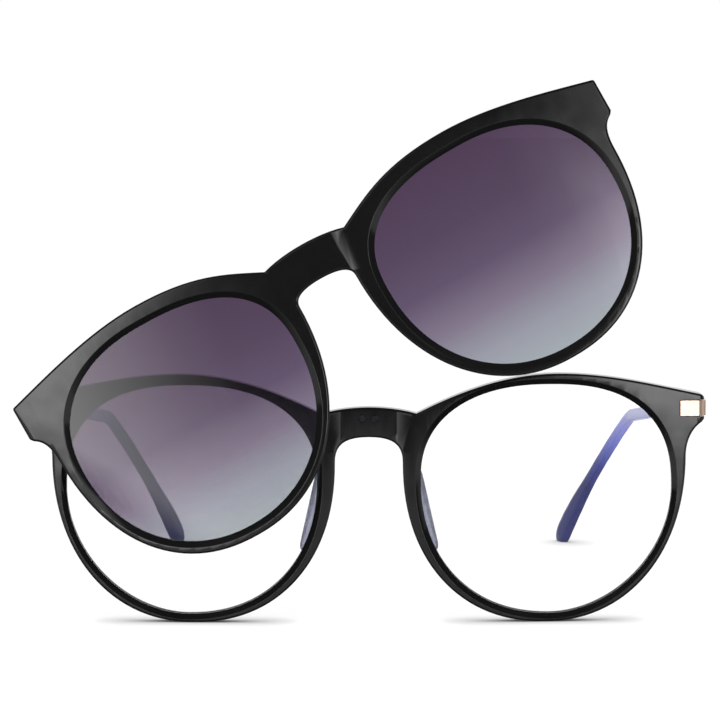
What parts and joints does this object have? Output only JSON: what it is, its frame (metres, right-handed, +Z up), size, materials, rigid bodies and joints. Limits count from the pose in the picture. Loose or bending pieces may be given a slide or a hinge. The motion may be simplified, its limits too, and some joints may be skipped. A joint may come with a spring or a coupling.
{
  "type": "clip-on eyeglasses",
  "caption": "Round-eyed plastic spectacle front with slim hinged temples and a magnetic clip-on sun front that swings up about one end magnet.",
  "frame": {"origin": "on the table, under the middle of the whole object in plan, with the clip-on swung up as pictured", "axes": "+X across the front to the wearer's left temple as seen from the front (the picture's right), +Y from the front back to the temple tips, +Z up from the table"},
  "size_m": [0.1457, 0.1304, 0.1138],
  "materials": {
    "front_black": "polished black plastic",
    "clip_black": "polished black plastic",
    "clear_lens": "clear lens with a faint blue coating",
    "tinted_lens": "gradient tint, violet grey to pale blue grey",
    "nose_pad": "translucent blue-grey plastic",
    "rose_gold": "polished rose-gold plating",
    "tip_violet": "polished dark blue-violet plastic",
    "steel": "turned screw steel",
    "magnet_plated": "nickel-plated magnet",
    "magnet_dark": "black-plated magnet"
  },
  "bodies": {
    "front": {"front_frame": "front_black", "lens_left": "clear_lens", "lens_right": "clear_lens", "nose_pad_left": "nose_pad", "nose_pad_right": "nose_pad", "end_plate_left": "rose_gold", "end_plate_right": "rose_gold", "plate_screw_left": "steel", "plate_screw_right": "steel", "front_hinge_left": "rose_gold", "front_hinge_right": "rose_gold", "hinge_screw_left": "steel", "hinge_screw_right": "steel", "bridge_magnets": "magnet_dark", "end_magnets": "magnet_plated"},
    "temple_left": {"temple_hinge_left": "rose_gold", "temple_arm_left": "rose_gold", "temple_tip_left": "tip_violet"},
    "temple_right": {"temple_hinge_right": "rose_gold", "temple_arm_right": "rose_gold", "temple_tip_right": "tip_violet"},
    "clip_on": {"clip_frame": "clip_black", "clip_lens_left": "tinted_lens", "clip_lens_right": "tinted_lens", "clip_bridge_magnets": "magnet_plated", "clip_end_magnets": "magnet_plated"}
  },
  "joints": [
    {"name": "temple_right_fold", "type": "hinge", "parent": "front", "child": "temple_right", "pos_m": [0.06983, -0.04974, 0.0449], "axis": [0, 0, 1], "range_deg": [0, 80]},
    {"name": "temple_left_fold", "type": "hinge", "parent": "front", "child": "temple_left", "pos_m": [-0.06617, -0.04974, 0.0449], "axis": [0, 0, -1], "range_deg": [0, 75]},
    {"name": "clip_swing", "type": "hinge", "parent": "front", "child": "clip_on", "pos_m": [-0.06367, -0.05884, 0.0378], "axis": [-0.0873, -0.9962, 0], "range_deg": [-29.5, 60]}
  ]
}
